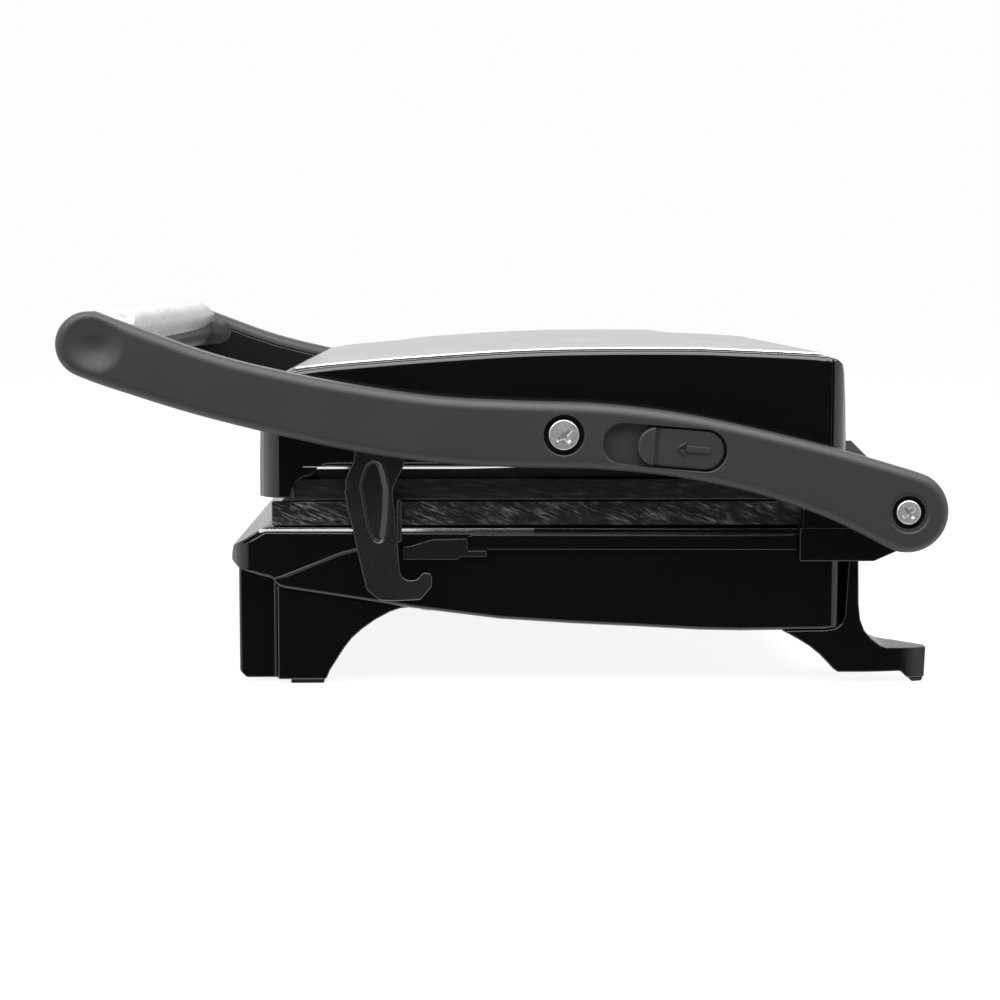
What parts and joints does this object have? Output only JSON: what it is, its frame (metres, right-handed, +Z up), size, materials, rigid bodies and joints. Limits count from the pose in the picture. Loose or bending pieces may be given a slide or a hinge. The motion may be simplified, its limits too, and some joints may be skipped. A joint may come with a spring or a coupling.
{
  "type": "panini press",
  "caption": "Hinged contact grill with curved handle arms, steel grip, floating upper head, ribbed plates, side storage latch, slide release button and drip tray.",
  "frame": {"origin": "on the table, under the middle of the bounding box", "axes": "+Z up, +Y from the handle towards the hinge, X along the width, +X side carries the slide button"},
  "size_m": [0.3, 0.3246, 0.1399],
  "materials": {
    "gloss_black": "gloss",
    "matt_black": "matt",
    "dark_plastic": "satin",
    "bright_steel": "polished",
    "satin_steel": "satin",
    "zinc": "bright zinc",
    "cast_plate": "non-stick coated, satin",
    "rubber": "matt",
    "brass": "satin",
    "ceramic": "matt",
    "wire_red": "satin",
    "latch_black": "semi-gloss black",
    "lens_red": "gloss",
    "lens_green": "gloss"
  },
  "bodies": {
    "base": {"lower_housing": "gloss_black", "bottom_cover": "dark_plastic", "side_rail_right": "gloss_black", "side_rail_left": "gloss_black", "front_leg_right": "gloss_black", "front_leg_left": "gloss_black", "rear_leg_right": "gloss_black", "rear_leg_left": "gloss_black", "wire_guard": "satin_steel", "foot_pads": "rubber", "hinge_bracket_right": "gloss_black", "hinge_bracket_left": "gloss_black", "rear_pivot_screws": "zinc", "lower_grill_plate": "cast_plate", "lower_heating_element": "zinc", "lower_reflector": "bright_steel", "lower_element_clamps": "satin_steel", "thermostat": "ceramic", "thermal_fuse": "brass", "terminal_block": "ceramic", "base_wires": "wire_red", "cord_inlet": "rubber", "latch_catch": "dark_plastic", "base_screws": "zinc"},
    "tray": {"drip_tray": "dark_plastic"},
    "handle": {"handle_arm_right": "matt_black", "handle_arm_left": "matt_black", "arm_cover_right": "dark_plastic", "arm_cover_left": "dark_plastic", "grip_bar": "matt_black", "grip_cover": "satin_steel", "grip_core": "zinc", "pivot_bushes": "brass", "button_spring": "zinc"},
    "release_button": {"slide_button": "matt_black", "lock_bar": "zinc"},
    "head": {"upper_housing": "gloss_black", "top_cover": "bright_steel", "upper_grill_plate": "cast_plate", "upper_heating_element": "zinc", "upper_reflector": "bright_steel", "upper_element_clamps": "satin_steel", "head_spacers": "dark_plastic", "head_pivot_screws": "zinc", "plate_screws": "zinc", "power_lamp": "lens_red", "ready_lamp": "lens_green", "latch_rivet": "zinc"},
    "latch": {"storage_latch": "latch_black"}
  },
  "joints": [
    {"name": "handle_hinge", "type": "hinge", "parent": "base", "child": "handle", "pos_m": [0, 0.1473, 0.0664], "axis": [-1, 0, 0], "range_deg": [0, 178]},
    {"name": "head_float", "type": "hinge", "parent": "handle", "child": "head", "pos_m": [0, 0.0213, 0.0949], "axis": [-1, 0, 0], "range_deg": [0, 2.2]},
    {"name": "latch_swing", "type": "hinge", "parent": "head", "child": "latch", "pos_m": [0.135, -0.046, 0.098], "axis": [-1, 0, 0], "range_deg": [0, 40]},
    {"name": "release_slide", "type": "slide", "parent": "handle", "child": "release_button", "axis": [0, -0.9965, 0.0837], "range_m": [0, 0.01], "stiffness_N_per_m": 150, "springref_m": -0.005, "deforming": ["button_spring"]},
    {"name": "tray_slide", "type": "slide", "parent": "base", "child": "tray", "axis": [0, -1, 0], "range_m": [0, 0.04]}
  ],
  "couplings": [
    {"joint": "head_float", "follows": "handle_hinge", "ratio": 0.011236}
  ]
}
